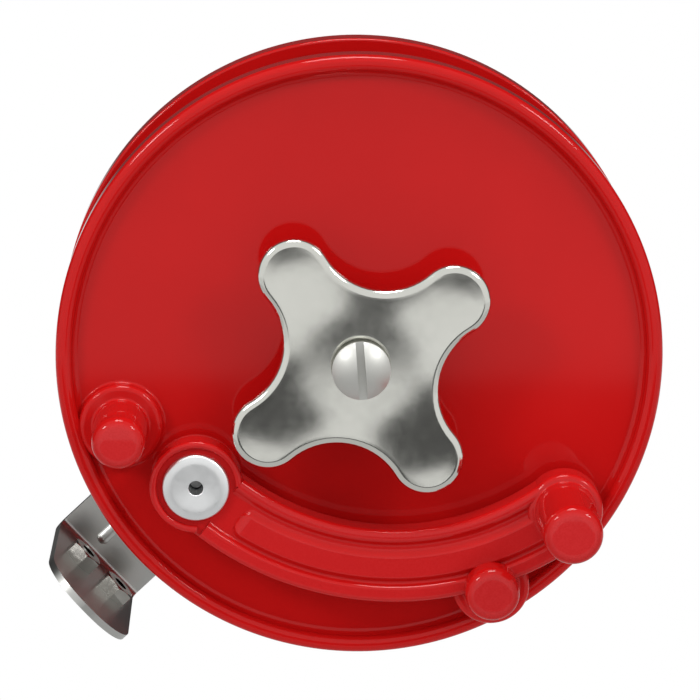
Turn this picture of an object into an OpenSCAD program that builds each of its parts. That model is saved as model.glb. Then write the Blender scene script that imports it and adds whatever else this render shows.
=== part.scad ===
// Single-action drum fishing reel with a folding crank and a star drag.
// The spool turns about the Y axis and the front of the reel looks along -Y.
// Every sub-part is drawn in a plan frame: x right, y up and z towards the front.

/* [Spool] */
// Diameter of the two flanges
spool_d = 127; // [120:1:140]
// Width of the spool across both rims
spool_w = 41; // [38:0.5:50]
// Depth of the front flange's rim
front_rim_w = 8; // [7:0.5:10]
// Depth of the back flange's rim
back_rim_w = 9; // [7:0.5:11]
// Height of the raised lip above the flange face
lip_rise = 2.8; // [2:0.1:3.5]
// Width of the raised lip
lip_w = 2.4; // [1.8:0.1:3.5]
// Step between the lip and the outer shoulder of the rim
rim_step = 1; // [0.6:0.1:1.6]
// Thickness of the flange plates
plate_t = 3; // [2.4:0.1:3.6]
// Wall of the rim behind the plate
skirt_wall = 3.2; // [2.4:0.1:5]
// Diameter of the drum that the line winds on
drum_d = 64; // [60:1:74]
// Wall of the drum
drum_wall = 2.5; // [1.8:0.1:3.5]
// Depth of the groove in each flange that seats the drum
drum_seat = 1; // [0.5:0.1:1.5]
// Diameter of the hole that the line is tied through
tie_hole_d = 3; // [2:0.5:5]

/* [Hub] */
// Diameter of the spindle
spindle_d = 10; // [8:0.5:11]
// Diameter of the flange hubs
hub_d = 22; // [20:0.5:25]
// Height of the front hub above the flange face
hub_rise = 6.2; // [4:0.2:8]
// Height of the rear hub above the flange face
rear_hub_rise = 0.8; // [0.6:0.1:1.5]
// Length of each hub inside the drum
hub_depth = 5; // [3:0.5:9]
// Wall of the bushes
bush_wall = 2; // [1.2:0.1:2.5]
// Diameter of the bush flanges
bush_flange_d = 19; // [17:0.5:22]
// Thickness of the bush flanges
bush_flange_t = 1; // [0.8:0.1:1.5]

/* [Flange screws] */
// Number of screws that clamp the flanges on the drum
screw_count = 4; // [3:1:6]
// Radius of the screw circle
screw_circle_r = 23; // [20:0.5:24]
// Diameter of the screw shanks
screw_d = 3; // [2.5:0.1:3.5]
// Diameter of the screw heads
screw_head_d = 6.2; // [5:0.1:7]
// Height of the screw heads
screw_head_h = 2.2; // [1.6:0.1:2.4]
// Diameter of the posts that the screws pass through
screw_post_d = 8; // [7:0.5:9]
// Length of the blind screw bosses behind the front flange
screw_boss_h = 7; // [5:0.5:10]

/* [Drag] */
// Diameter of the drag washers
drag_washer_d = 19; // [16:0.5:22]
// Thickness of the drag washers
drag_washer_t = 1; // [0.8:0.1:1.6]
// Diameter of the pressure washer
pressure_washer_d = 20; // [16:0.5:22]
// Thickness of the pressure washer
pressure_washer_t = 1.2; // [0.8:0.1:2]
// Diameter of the disc spring
disc_spring_d = 17; // [15:0.5:20]
// Sheet thickness of the disc spring
disc_spring_t = 0.5; // [0.4:0.05:0.7]
// Height of the disc spring under load
disc_spring_h = 0.9; // [0.8:0.05:1.4]
// Diameter of the thrust washer
thrust_washer_d = 16; // [14.5:0.5:18]
// Thickness of the thrust washer
thrust_washer_t = 0.8; // [0.6:0.1:1.5]
// Width across the flats of the spindle's front end
spindle_flats = 8; // [6.5:0.1:9]

/* [Star] */
// Distance from the axis to the middle of each lobe
lobe_reach = 23.6; // [20:0.1:25]
// Radius of the lobes
lobe_r = 7.6; // [6:0.1:8.2]
// Distance from the axis to the bottom of the valleys
valley_reach = 16.5; // [14:0.1:18]
// Angle of the first lobe
star_angle = 35.5; // [0:0.5:90]
// Sheet thickness of the star
star_t = 1.5; // [1:0.1:2]
// Depth of the star over its rolled edge
star_depth = 2.2; // [1.9:0.1:3]
// Outer radius of the rolled edge
star_roll = 1.7; // [1:0.1:1.8]
// Diameter of the star nut's collar under the star
star_nut_collar_d = 15; // [13.5:0.5:18]
// Diameter of the star nut's spigot through the star
star_nut_spigot_d = 12; // [11.5:0.1:13]

/* [Cap screw] */
// Diameter of the round head
cap_head_d = 12.1; // [11:0.1:14]
// Height of the round head
cap_head_h = 3.3; // [2.5:0.1:4.5]
// Width of the driver slot
cap_slot_w = 1.7; // [1.2:0.1:2.4]
// Depth of the driver slot
cap_slot_depth = 1.6; // [1:0.1:2]
// Angle of the driver slot from the vertical
cap_slot_angle = 4; // [-90:1:90]
// Diameter of the shank
cap_shank_d = 6; // [4:0.5:6]
// Length of the shank
cap_shank_l = 12; // [8:0.5:18]
// Room between the star and the head, for loosening the drag
star_travel = 2.4; // [1.8:0.1:4]

/* [Crank] */
// Distance of the crank pivot in from the rim
pivot_inset = 20.6; // [18:0.1:23]
// Direction of the crank pivot from the axis
pivot_angle = 217; // [210:0.5:225]
// Radius of the arm's centreline
arm_r = 59.2; // [56:0.1:64]
// Direction of the pivot from the middle of the arm's curve
arm_start = 225.2; // [222:0.1:230]
// Angle that the arm's curve spans
arm_sweep = 81.4; // [70:0.2:84]
// Width of the arm
arm_w = 15.4; // [14:0.1:17]
// Thickness of the arm
arm_t = 7; // [6:0.1:8]
// Gap between the arm and the plane of the rim
arm_gap = 0.5; // [0.4:0.1:1.5]
// Depth of the grooves in the arm's face
groove_depth = 1; // [0.5:0.1:1.5]
// Width of the inner rail
inner_rail_w = 2.7; // [1.8:0.1:3]
// Width of the outer rail
outer_rail_w = 3.5; // [1.8:0.1:3.8]
// Width of the middle rib
rib_w = 5.5; // [3:0.1:6]
// Width of the groove beside the outer rail
outer_groove_w = 1.4; // [0.8:0.1:1.6]
// Distance from the pivot to the start of the middle rib
rib_start = 11.6; // [11:0.1:16]
// Radius of the arm's end round the pivot
pivot_lobe_r = 9.7; // [9:0.1:10]
// Wall of the raised edge round the pivot
pivot_edge_w = 1.5; // [1:0.1:2]
// Wall between the arm's face and the hollow underneath
arm_skin = 2.4; // [1.6:0.1:3]
// Side wall of the hollow underneath
arm_side_wall = 2.4; // [1.6:0.1:3]
// Number of pockets in the hollow underneath
pocket_count = 4; // [2:1:6]
// Width of the webs between the pockets
pocket_web = 1.6; // [1:0.1:3]
// Diameter of the knob
knob_d = 12.7; // [11:0.1:14]
// Height of the knob above the arm
knob_h = 22.5; // [16:0.5:30]
// Radius of the arm's end round the knob
knob_lobe_r = 7.9; // [7.2:0.1:8.4]
// Diameter of the stub peg on the arm's outer edge
stub_d = 11.5; // [10:0.1:13]
// Height of the stub peg above the arm
stub_h = 6; // [4:0.5:12]
// Radius of the boss under the stub peg
stub_boss_r = 8.1; // [7.5:0.1:9]
// Distance of the stub peg from the arm's centreline
stub_offset = 7.8; // [6:0.1:9]
// Angle along the arm from the pivot to the stub peg
stub_sweep = 62.1; // [50:0.1:64]

/* [Finger peg] */
// Distance of the finger peg in from the rim
peg_inset = 11.5; // [11.5:0.05:13]
// Direction of the finger peg from the axis
peg_angle = 196; // [190:0.2:198]
// Diameter of the finger peg
peg_d = 11.4; // [10:0.1:13]
// Height of the finger peg above its boss
peg_h = 18; // [12:0.5:24]
// Radius of the boss under the finger peg
peg_boss_r = 8.8; // [7:0.1:9.2]

/* [Crank rivet] */
// Diameter of the rivet's flange
rivet_flange_d = 14; // [11:0.1:14.6]
// Thickness of the rivet's flange
rivet_flange_t = 1.7; // [1.2:0.1:2.5]
// Diameter of the rivet's shank
rivet_d = 4.8; // [4:0.1:6]
// Diameter of the hole in the rivet
rivet_hole_d = 3; // [2:0.1:3.2]
// Depth of the broken mandrel below the seat of the rivet's flange
mandrel_depth = 4.8; // [0:0.1:8]
// Diameter of the rivet's blind head
rivet_tail_d = 7.4; // [6.4:0.1:9]
// Height of the rivet's blind head
rivet_tail_h = 1.5; // [1:0.1:1.6]
// Diameter of the backup washer
backup_washer_d = 10.5; // [9.5:0.1:11]
// Thickness of the backup washer
backup_washer_t = 0.8; // [0.5:0.1:1]
// Diameter of the recess behind the flange that hides the blind head
rivet_recess_d = 12; // [11.5:0.1:13]
// Depth of that recess
rivet_recess_depth = 2.7; // [2.65:0.05:3.2]
// Diameter of the pivot washer
pivot_washer_d = 17; // [14:0.5:18]
// Thickness of the pivot washer
pivot_washer_t = 0.5; // [0.3:0.1:0.8]

/* [Foot bracket] */
// Direction of the bracket leg from the axis
leg_angle = 223; // [200:0.5:250]
// Width of the bracket strip
leg_w = 23; // [20:0.5:30]
// Sheet thickness of the bracket
sheet_t = 1.5; // [1:0.1:2]
// Inner radius of the bend
bend_r = 1.5; // [1:0.1:3]
// Distance of the foot plate's outer face beyond the rim
foot_reach = 16; // [12:0.5:24]
// Length of the foot plate over the bend
foot_l = 43.5; // [36:0.5:44]
// Corner radius of the foot plate's rounded front end
foot_corner_r = 10.5; // [2:0.5:14]
// Width of the stiffening bead along the leg
bead_w = 2.8; // [2:0.1:3]
// Height of the stiffening bead
bead_h = 0.7; // [0.4:0.1:0.9]
// Distance of the bead from the middle of the leg
bead_offset = 2.6; // [0:0.1:5]
// Distance from the axis to the inner end of the bead
bead_start = 20; // [16:0.5:40]
// Distance of the bead's outer end in from the bend
bead_end_inset = 3; // [2:0.5:10]
// Distance between the two foot nuts
nut_spacing = 10; // [9.5:0.1:13]
// Distance from the foot plate's front edge to the nuts
nut_inset = 26; // [18:0.5:30]
// Width of the foot nuts across flats
foot_nut_af = 7; // [6:0.1:7.4]
// Height of the foot nuts
foot_nut_h = 3.2; // [2.4:0.1:4]
// Diameter of the foot nuts' thread bore
foot_nut_bore_d = 3.3; // [2.5:0.1:4]
// Diameter of the bolt holes in the foot plate
foot_hole_d = 4.3; // [4.1:0.1:5]

/* [Spindle fixing] */
// Diameter of the spindle's rear thread
tail_d = 8; // [6:0.5:9]
// Diameter of the spindle's collar in front of the leg
collar_d = 18; // [14:0.5:20]
// Thickness of that collar
collar_t = 1.4; // [1:0.1:2.5]
// Diameter of the lock washer
lock_washer_d = 14.5; // [12.5:0.5:18]
// Thickness of the lock washer
lock_washer_t = 1.6; // [1:0.1:2.4]
// Width of the spindle nut across flats
spindle_nut_af = 13; // [12:0.5:17]
// Height of the spindle nut
spindle_nut_h = 5; // [4:0.5:8]
// Length of thread that shows behind the nut
tail_end = 1.2; // [0:0.1:3]

/* [Fits] */
// Radial clearance of running fits
run_clear = 0.05; // [0.02:0.01:0.1]
// Radial clearance of seated pieces
seat_clear = 0.1; // [0.05:0.05:0.2]
// Radial clearance of screws in through holes
hole_clear = 0.25; // [0.1:0.05:0.4]
// Radius of small moulded edges
edge_r = 0.8; // [0.4:0.1:1]
// Radius of the arm's upper edges
arm_edge_r = 1.2; // [0.6:0.1:1.5]
// Bevel of the crests beside the arm's grooves
crest_bevel = 0.5; // [0.2:0.1:0.6]
// Radius of the edges at the tips of the pegs
tip_r = 1.6; // [0.8:0.1:2.4]
// Fillet at the foot of the pegs and hubs
foot_fillet = 1; // [0.4:0.1:1.2]

/* [Hidden] */
$fn = 96;
spool_r = spool_d / 2;
rim_h = spool_w / 2;
face_h = rim_h - lip_rise;
plate_back_h = face_h - plate_t;
hub_end_h = plate_back_h - hub_depth;
lip_out_r = spool_r - rim_step;
lip_in_r = lip_out_r - lip_w;
shoulder_h = rim_h - rim_step;
drum_r = drum_d / 2;
drum_bore_r = drum_r - drum_wall;
drum_end_h = plate_back_h + drum_seat;
bush_r = spindle_d / 2 + run_clear + bush_wall;

// Front drag stack, from the hub out to the head of the cap screw
hub_top_h = face_h + hub_rise;
front_washer_h = hub_top_h + bush_flange_t;
pressure_washer_h = front_washer_h + drag_washer_t;
disc_spring_base_h = pressure_washer_h + pressure_washer_t;
thrust_washer_h = disc_spring_base_h + disc_spring_h;
star_nut_h = thrust_washer_h + thrust_washer_t;
star_top_h = star_nut_h + star_depth;
star_plate_h = star_top_h - star_t;
spindle_end_h = star_top_h + star_travel;

// Rear stack, from the hub back to the end of the spindle
rear_hub_h = -(face_h + rear_hub_rise);
rear_washer_h = rear_hub_h - bush_flange_t;
collar_h = rear_washer_h - drag_washer_t;
leg_h = collar_h - collar_t;
leg_back_h = leg_h - sheet_t;
spindle_nut_top_h = leg_back_h - lock_washer_t;
tail_end_h = spindle_nut_top_h - spindle_nut_h - tail_end;

// Star outline: each valley is an arc that touches the two lobes beside it
lobe_count = 4;
valley_cos = cos(180 / lobe_count);
valley_r = (pow(lobe_reach, 2) + pow(valley_reach, 2) - pow(lobe_r, 2)
    - 2 * lobe_reach * valley_reach * valley_cos)
    / (2 * (lobe_reach * valley_cos + lobe_r - valley_reach));
valley_centre = valley_reach + valley_r;
lobe_steps = 16;
valley_steps = 10;
roll_steps = 5;

// Crank
arm_bottom_h = rim_h + arm_gap;
arm_top_h = arm_bottom_h + arm_t;
arm_floor_h = arm_top_h - groove_depth;
pivot_boss_h = arm_bottom_h - pivot_washer_t;
rivet_web_h = plate_back_h + rivet_recess_depth;
pivot = polar(spool_r - pivot_inset, pivot_angle);
arm_centre = pivot - polar(arm_r, arm_start);
knob = arm_centre + polar(arm_r, arm_start + arm_sweep);
stub = arm_centre + polar(arm_r + stub_offset, arm_start + stub_sweep);
inner_groove_start = -arm_w / 2 + inner_rail_w;
outer_groove_end = arm_w / 2 - outer_rail_w;
rib_end = outer_groove_end - outer_groove_w;
rib_begin = rib_end - rib_w;
rib_sweep = rib_start / arm_r * 180 / PI;
arm_begin = rib_sweep / 4;
stub_boss_h = arm_floor_h - 1.4 * crest_bevel;
lobe_top_h = arm_top_h - seat_clear / 2;
peg = polar(spool_r - peg_inset, peg_angle);
post_taper = 0.2;
post_root = 1;

// Foot bracket
foot_out = spool_r + foot_reach;
foot_in = foot_out - sheet_t;
bend_at = foot_in - bend_r;
foot_tip_h = leg_back_h + foot_l;
nut_h = foot_tip_h - nut_inset;
foot_end_r = min(foot_corner_r, leg_w / 2 - 0.5);

red = [0.74, 0.07, 0.09];
dark_red = [0.6, 0.05, 0.06];
steel = [0.75, 0.75, 0.73];
polished = [0.82, 0.82, 0.79];
brass = [0.8, 0.65, 0.3];
fibre = [0.45, 0.25, 0.15];
nylon = [0.92, 0.9, 0.84];
aluminium = [0.83, 0.84, 0.86];

function polar(r, a) = [r * cos(a), r * sin(a), 0];

function arc(centre, r, from, to, steps = 6) =
    [for (i = [0:steps]) let (a = from + (to - from) * i / steps)
        [centre[0] + r * cos(a), centre[1] + r * sin(a)]];

// Turns the plan frame so that its z axis points to the front of the reel
module plan() {
    rotate([90, 0, 0])
        children();
}

module round_screws() {
    for (i = [0:screw_count - 1])
        rotate([0, 0, 360 / screw_count * (i + 0.5)])
            translate([screw_circle_r, 0, 0])
                children();
}

module ring(outer_r, inner_r, from, to) {
    translate([0, 0, from])
        difference() {
            cylinder(r = outer_r, h = to - from);
            translate([0, 0, -1])
                cylinder(r = inner_r, h = to - from + 2);
        }
}

// A round post with a slight taper, a rounded tip and, where it has room, a fillet at its foot
module post(base_r, tip_h, fillet = foot_fillet) {
    top_r = base_r - post_taper;
    rotate_extrude()
        polygon(concat(
            [[0, -post_root], [base_r + fillet, -post_root]],
            fillet > 0 ? arc([base_r + fillet, fillet], fillet, 270, 180) : [],
            arc([top_r - tip_r, tip_h - tip_r], tip_r, 0, 90),
            [[0, tip_h]]));
}

// A flat boss with a rounded upper edge
module boss(r, from, to, edge = edge_r) {
    rotate_extrude()
        polygon(concat([[0, from], [r, from]], arc([r - edge, to - edge], edge, 0, 90), [[0, to]]));
}

// A flange: plate, hub and rim with its raised lip, facing up
module flange_disc(rim_w, hub_top) {
    back_h = rim_h - rim_w;
    rise = hub_top - face_h;
    hub_r = hub_d / 2;
    hub_fillet = min(foot_fillet, rise / 2);
    hub_edge = min(edge_r, rise / 3);
    skirt_r = spool_r - skirt_wall;
    skirt_fillet = min(1.2, (plate_back_h - back_h) / 2);
    skirt_edge = min(edge_r, (plate_back_h - back_h) / 3);
    lip_edge = min(1, lip_w / 2.2);
    step_edge = rim_step * 0.45;
    rotate_extrude()
        polygon(concat(
            [[0, hub_end_h], [hub_r, hub_end_h], [hub_r, plate_back_h]],
            arc([skirt_r - skirt_fillet, plate_back_h - skirt_fillet], skirt_fillet, 90, 0),
            arc([skirt_r + skirt_edge, back_h + skirt_edge], skirt_edge, 180, 270),
            arc([spool_r - skirt_edge, back_h + skirt_edge], skirt_edge, 270, 360),
            arc([spool_r - step_edge, shoulder_h - step_edge], step_edge, 0, 90),
            [[lip_out_r, shoulder_h]],
            arc([lip_out_r - lip_edge, rim_h - lip_edge], lip_edge, 0, 90),
            arc([lip_in_r + lip_edge, rim_h - lip_edge], lip_edge, 90, 180),
            arc([lip_in_r - foot_fillet, face_h + foot_fillet], foot_fillet, 0, -90),
            arc([hub_r + hub_fillet, face_h + hub_fillet], hub_fillet, 270, 180),
            arc([hub_r - hub_edge, hub_top - hub_edge], hub_edge, 0, 90),
            [[0, hub_top]]));
}

// What both flanges lose: the bush bore and the groove that seats the drum
module flange_cuts() {
    translate([0, 0, hub_end_h - 1])
        cylinder(r = bush_r, h = spool_w);
    ring(drum_r + seat_clear, drum_bore_r - seat_clear, plate_back_h - drum_seat, drum_end_h);
}

module front_flange() {
    color(red) plan() difference() {
        union() {
            flange_disc(front_rim_w, hub_top_h);
            translate(pivot)
                boss(pivot_washer_d / 2, plate_back_h + 0.5, pivot_boss_h, 0.3);
            translate(peg) {
                boss(peg_boss_r, plate_back_h + 0.5, rim_h);
                translate([0, 0, rim_h])
                    post(peg_d / 2, peg_h);
            }
            round_screws()
                translate([0, 0, plate_back_h - screw_boss_h])
                    cylinder(d = screw_post_d, h = screw_boss_h + 0.5);
        }
        flange_cuts();
        round_screws()
            translate([0, 0, plate_back_h - screw_boss_h - 1])
                cylinder(r = screw_d / 2 + run_clear, h = screw_boss_h + 1.5);
        translate(pivot) {
            translate([0, 0, plate_back_h - 1])
                cylinder(d = rivet_recess_d, h = rivet_recess_depth + 1);
            cylinder(r = rivet_d / 2 + run_clear, h = spool_w);
        }
    }
}

module back_flange() {
    color(red) plan() mirror([0, 0, 1]) difference() {
        flange_disc(back_rim_w, -rear_hub_h);
        flange_cuts();
        round_screws()
            cylinder(r = screw_d / 2 + hole_clear, h = spool_w);
    }
}

module drum() {
    post_top_h = plate_back_h - screw_boss_h;
    color(dark_red) plan() difference() {
        union() {
            ring(drum_r, drum_bore_r, -drum_end_h, drum_end_h);
            round_screws()
                translate([0, 0, -plate_back_h]) {
                    cylinder(d = screw_post_d, h = post_top_h + plate_back_h);
                    translate([0, -drum_wall / 2, 0])
                        cube([drum_bore_r + drum_wall / 2 - screw_circle_r, drum_wall, post_top_h + plate_back_h]);
                }
        }
        round_screws()
            translate([0, 0, -spool_w])
                cylinder(r = screw_d / 2 + hole_clear, h = 2 * spool_w);
        rotate([-90, 0, 0])
            cylinder(d = tie_hole_d, h = spool_r);
    }
}

module flange_screws() {
    tip_h = plate_back_h - 0.5;
    color(steel) plan() round_screws() difference() {
        union() {
            translate([0, 0, -face_h])
                cylinder(d = screw_d, h = face_h + tip_h);
            rotate([180, 0, 0])
                boss(screw_head_d / 2, face_h, face_h + screw_head_h, screw_head_h / 2.2);
        }
        translate([-screw_head_d, -screw_d / 6, -face_h - screw_head_h - 1])
            cube([2 * screw_head_d, screw_d / 3, screw_head_h / 2 + 1]);
    }
}

// A flanged bush, its flange up
module bush(top_h) {
    bore_r = spindle_d / 2 + run_clear;
    ring(bush_r, bore_r, hub_end_h, top_h);
    ring(bush_flange_d / 2, bore_r, top_h, top_h + bush_flange_t);
}

module front_bush() {
    color(nylon) plan() bush(hub_top_h);
}

module rear_bush() {
    color(nylon) plan() mirror([0, 0, 1]) bush(-rear_hub_h);
}

module crank_rivet() {
    flange_r = rivet_flange_d / 2;
    dish_r = flange_r * 0.62;
    dish_depth = rivet_flange_t * 0.3;
    shank_r = rivet_d / 2;
    tail_r = rivet_tail_d / 2;
    tail_top_h = rivet_web_h - backup_washer_t;
    top_h = arm_floor_h + rivet_flange_t;
    edge = rivet_flange_t * 0.45;
    color(aluminium) plan() translate(pivot) difference() {
        rotate_extrude()
            polygon(concat(
                [[0, tail_top_h - rivet_tail_h]],
                arc([tail_r - 0.6, tail_top_h - rivet_tail_h + 0.6], 0.6, 270, 360),
                [[tail_r, tail_top_h], [shank_r, tail_top_h], [shank_r, arm_floor_h]],
                arc([flange_r - edge, arm_floor_h + edge], edge, 270, 400),
                [[dish_r + 0.8, top_h], [dish_r, top_h - dish_depth], [0, top_h - dish_depth - 0.15]]));
        cylinder(d = rivet_hole_d, h = 3 * spool_w);
    }
}

module rivet_mandrel() {
    bottom_h = rivet_web_h - backup_washer_t - rivet_tail_h;
    color(steel) plan() translate(pivot)
        boss(rivet_hole_d / 2 - run_clear, bottom_h, arm_floor_h - mandrel_depth, 0.3);
}

module backup_washer() {
    color(steel) plan() translate(pivot)
        ring(backup_washer_d / 2, rivet_d / 2 + seat_clear, rivet_web_h - backup_washer_t, rivet_web_h);
}

module pivot_washer() {
    color(nylon) plan() translate(pivot)
        ring(pivot_washer_d / 2, rivet_d / 2 + seat_clear, pivot_boss_h, arm_bottom_h);
}

// Sweeps a section along the arm's curve between two angles from the pivot
module along_arm(from, to) {
    translate(arm_centre)
        rotate_extrude(start = arm_start + from, angle = to - from)
            translate([arm_r, 0])
                children();
}

// Section of the arm's stretch before the grooves, with round outer edges
module arm_section() {
    half_w = arm_w / 2;
    outer = half_w - arm_edge_r;
    edge_h = arm_top_h - arm_edge_r;
    polygon(concat(
        [[-half_w, arm_bottom_h], [half_w, arm_bottom_h]],
        arc([outer, edge_h], arm_edge_r, 0, 90),
        arc([-outer, edge_h], arm_edge_r, 90, 180)));
}

// A groove along the arm between two offsets from its middle line, with bevelled crests
module groove(from, to, start, end) {
    crest_h = arm_top_h - crest_bevel;
    flare = crest_bevel + 1;
    along_arm(from, to)
        polygon([[start, arm_floor_h], [end, arm_floor_h], [end, crest_h], [end + flare, arm_top_h + 1],
            [start - flare, arm_top_h + 1], [start, crest_h]]);
}

// Grooves that leave the rails, the middle rib and a round recess for the rivet
module arm_grooves() {
    groove(1.2 * arm_begin, rib_sweep, inner_groove_start, outer_groove_end);
    groove(2 * arm_begin, arm_sweep, inner_groove_start, rib_begin);
    groove(2 * arm_begin, arm_sweep, rib_end, outer_groove_end);
    translate(pivot + [0, 0, arm_floor_h])
        cylinder(r = pivot_lobe_r - pivot_edge_w, h = arm_t);
}

// Pockets that lighten the underside, with webs between them
module arm_pockets() {
    first = (pivot_lobe_r + pocket_web) / arm_r * 180 / PI;
    last = arm_sweep - (knob_lobe_r + pocket_web) / arm_r * 180 / PI;
    web = pocket_web / arm_r * 180 / PI;
    step = (last - first + web) / pocket_count;
    half_w = arm_w / 2 - arm_side_wall;
    for (i = [0:pocket_count - 1])
        along_arm(first + i * step, first + (i + 1) * step - web)
            translate([-half_w, arm_bottom_h - 1])
                square([2 * half_w, arm_floor_h - arm_skin - arm_bottom_h + 1]);
}

module crank_arm() {
    core_r = knob_d / 2 - arm_side_wall;
    knob_fillet = max(0.3, knob_lobe_r - arm_edge_r - knob_d / 2);
    color(red) plan() difference() {
        union() {
            difference() {
                union() {
                    along_arm(arm_begin, arm_sweep)
                        arm_section();
                    translate(pivot)
                        boss(pivot_lobe_r, arm_bottom_h, lobe_top_h, pivot_edge_w / 2);
                }
                arm_grooves();
                arm_pockets();
            }
            translate(knob) {
                boss(knob_lobe_r, arm_bottom_h, lobe_top_h, arm_edge_r);
                translate([0, 0, lobe_top_h])
                    post(knob_d / 2, knob_h, knob_fillet);
            }
            translate(stub) {
                boss(stub_boss_r, arm_bottom_h, stub_boss_h, arm_edge_r);
                translate([0, 0, stub_boss_h])
                    post(stub_d / 2, stub_h + arm_top_h - stub_boss_h, 0);
            }
        }
        translate(knob + [0, 0, arm_bottom_h - 1])
            cylinder(r = core_r, h = arm_t + knob_h - arm_skin);
        translate(pivot)
            cylinder(r = rivet_d / 2 + run_clear, h = 3 * spool_w);
    }
}

// Outline of the star, drawn in by inset: round lobes joined by valley arcs
function star_outline(inset) = [for (i = [0:lobe_count - 1])
    let (
        turn = star_angle + i * 360 / lobe_count,
        half = 180 / lobe_count,
        touch = atan2(valley_centre * sin(half), valley_centre * cos(half) - lobe_reach),
        swing = 2 * (half - touch) / valley_steps,
        start = turn + touch + 180 + swing,
        end = turn + 2 * half - touch + 180 - swing,
        lobe = polar(lobe_reach, turn),
        valley = polar(valley_centre, turn + half))
    each concat(
        arc(lobe, lobe_r - inset, turn - touch, turn + touch, lobe_steps),
        arc(valley, valley_r + inset, start, end, valley_steps - 2))];

function at_height(points, h) = [for (p = points) [p[0], p[1], h]];

// Faces of the wall between two rings of n points
function wall(n, low, high) = [for (i = [0:n - 1]) let (j = (i + 1) % n)
    each [[low + i, high + i, high + j], [low + i, high + j, low + j]]];

// A closed shell round the axis through rings of n points each, from its first ring to its last
module ring_loft(rings) {
    n = len(rings[0]);
    count = len(rings);
    last = (count - 1) * n;
    first_middle = count * n;
    last_middle = first_middle + 1;
    polyhedron(
        points = concat(
            [for (r = rings) each r],
            [[0, 0, rings[0][0][2]], [0, 0, rings[count - 1][0][2]]]),
        faces = concat(
            [for (i = [0:n - 1]) [first_middle, i, (i + 1) % n]],
            [for (k = [0:count - 2]) each wall(n, k * n, (k + 1) * n)],
            [for (i = [0:n - 1]) [last_middle, last + (i + 1) % n, last + i]]),
        convexity = 8);
}

module drag_star() {
    roll = [for (i = [1:roll_steps]) let (a = 90 * i / roll_steps)
        at_height(star_outline(star_roll * (1 - cos(a))), star_top_h - star_roll * (1 - sin(a)))];
    color(polished) plan() difference() {
        ring_loft(concat(
            [at_height(star_outline(star_t), star_plate_h), at_height(star_outline(star_t), star_nut_h),
                at_height(star_outline(0), star_nut_h), at_height(star_outline(0), star_top_h - star_roll)],
            roll));
        cylinder(r = star_nut_spigot_d / 2 + seat_clear, h = 3 * spool_w);
    }
}

module star_nut() {
    bore_r = spindle_d / 2 + run_clear;
    color(brass) plan() {
        ring(star_nut_collar_d / 2, bore_r, star_nut_h, star_plate_h);
        ring(star_nut_spigot_d / 2, bore_r, star_plate_h, star_top_h);
    }
}

// Section of the spindle's front end: round with two flats
module flatted(r, flats) {
    intersection() {
        circle(r = r);
        square([2 * r + 1, flats], center = true);
    }
}

// A washer with a flatted hole, so that it can't turn on the spindle
module keyed_washer(d, from, t) {
    translate([0, 0, from])
        linear_extrude(t)
            difference() {
                circle(d = d);
                flatted(spindle_d / 2 + seat_clear, spindle_flats + 2 * seat_clear);
            }
}

module thrust_washer() {
    color(steel) plan() keyed_washer(thrust_washer_d, thrust_washer_h, thrust_washer_t);
}

module disc_spring() {
    inner_r = spindle_d / 2 + 2 * seat_clear;
    outer_r = disc_spring_d / 2;
    color(steel) plan() rotate_extrude()
        polygon([[inner_r, thrust_washer_h - disc_spring_t], [outer_r, disc_spring_base_h],
            [outer_r, disc_spring_base_h + disc_spring_t], [inner_r, thrust_washer_h]]);
}

module pressure_washer() {
    color(steel) plan() keyed_washer(pressure_washer_d, pressure_washer_h, pressure_washer_t);
}

module front_drag_washer() {
    color(fibre) plan()
        ring(drag_washer_d / 2, spindle_d / 2 + seat_clear, front_washer_h, pressure_washer_h);
}

module rear_drag_washer() {
    color(fibre) plan()
        ring(drag_washer_d / 2, spindle_d / 2 + seat_clear, collar_h, rear_washer_h);
}

module cap_screw() {
    head_r = cap_head_d / 2;
    rim = cap_head_h * 0.3;
    dome_h = cap_head_h - rim;
    dome_r = (head_r * head_r + dome_h * dome_h) / (2 * dome_h);
    dome_angle = asin(head_r / dome_r);
    color(polished) plan() translate([0, 0, spindle_end_h]) difference() {
        union() {
            rotate_extrude()
                polygon(concat(
                    [[0, 0], [head_r, 0]],
                    arc([0, cap_head_h - dome_r], dome_r, 90 - dome_angle, 90, 10)));
            translate([0, 0, -cap_shank_l])
                cylinder(r = cap_shank_d / 2 - run_clear, h = cap_shank_l + 0.1);
        }
        rotate([0, 0, cap_slot_angle])
            translate([-cap_slot_w / 2, -cap_head_d, cap_head_h - cap_slot_depth])
                cube([cap_slot_w, 2 * cap_head_d, cap_head_h]);
    }
}

module spindle() {
    flats_h = spindle_end_h - pressure_washer_h;
    color(steel) plan() difference() {
        union() {
            translate([0, 0, tail_end_h])
                cylinder(d = tail_d, h = leg_h - tail_end_h);
            translate([0, 0, leg_h])
                cylinder(d = collar_d, h = collar_t);
            translate([0, 0, collar_h])
                cylinder(d = spindle_d, h = pressure_washer_h - collar_h);
            translate([0, 0, pressure_washer_h])
                linear_extrude(flats_h)
                    flatted(spindle_d / 2, spindle_flats);
        }
        translate([0, 0, spindle_end_h - cap_shank_l - 1])
            cylinder(d = cap_shank_d, h = cap_shank_l + 2);
    }
}

// A hex nut standing on z = 0, with a chamfer round its upper edge
module hex_nut(af, h, bore_r) {
    corner_r = af / sqrt(3);
    chamfer = corner_r - af / 2;
    difference() {
        intersection() {
            cylinder(r = corner_r, h = h, $fn = 6);
            rotate_extrude()
                polygon([[0, 0], [corner_r + 0.1, 0], [corner_r + 0.1, h - chamfer * 0.7],
                    [af / 2 - 0.1, h], [0, h]]);
        }
        translate([0, 0, -1])
            cylinder(r = bore_r, h = h + 2);
    }
}

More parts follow.
